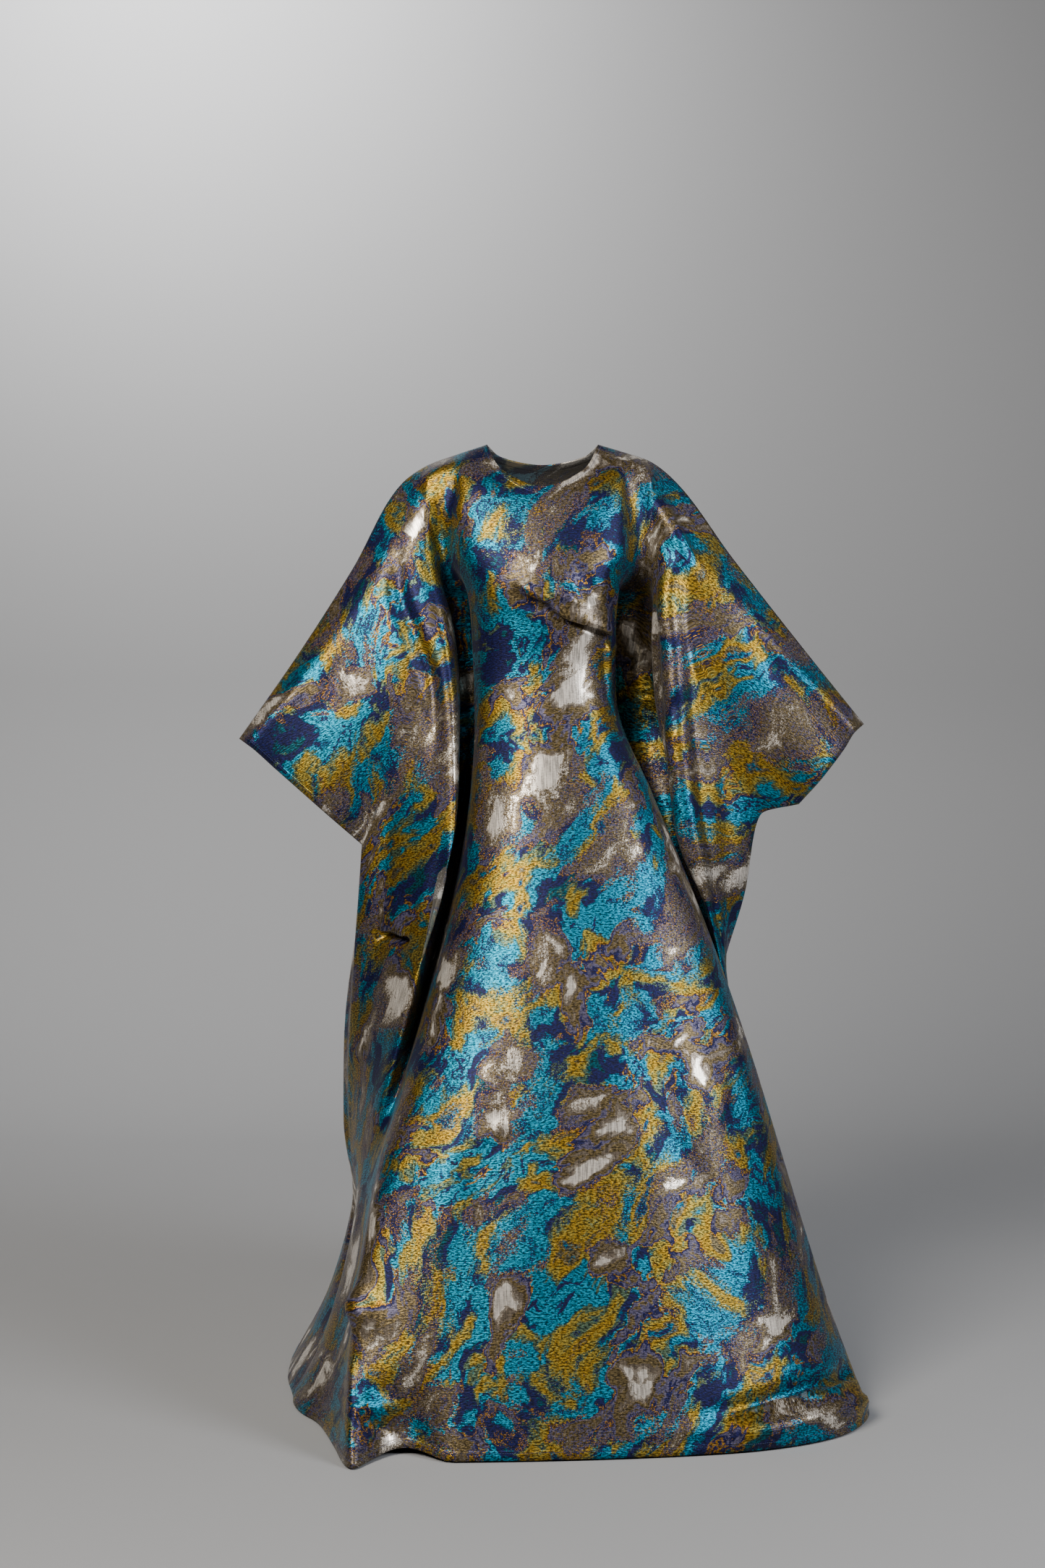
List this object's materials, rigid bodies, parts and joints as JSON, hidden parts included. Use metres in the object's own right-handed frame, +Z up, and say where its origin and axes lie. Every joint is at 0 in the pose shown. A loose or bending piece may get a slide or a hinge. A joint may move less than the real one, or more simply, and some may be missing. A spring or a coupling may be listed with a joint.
{
  "type": "kaftan",
  "caption": "Floor-length butterfly kaftan of stiff brocade in its hollow worn form, with wide half sleeves, open neck, cuffs and hem, a tuck at the waist and a short train.",
  "frame": {"origin": "between the wearer's shoulders, on the line of the two shoulder seams, 1.450 m above the floor", "axes": "+Z up along the wearer's height; -Y towards the front of the kaftan; +X to the right of someone who faces the front, towards the wearer's left arm"},
  "size_m": [0.982, 0.9931, 1.4768],
  "materials": {
    "front_brocade": "marbled lurex brocade in turquoise, navy, gold, champagne and mauve-grey, with a metallic sparkle",
    "back_brocade": "the same marbled lurex brocade as the front"
  },
  "bodies": {
    "root": {"front_panel": "front_brocade", "back_panel": "back_brocade"}
  },
  "joints": []
}
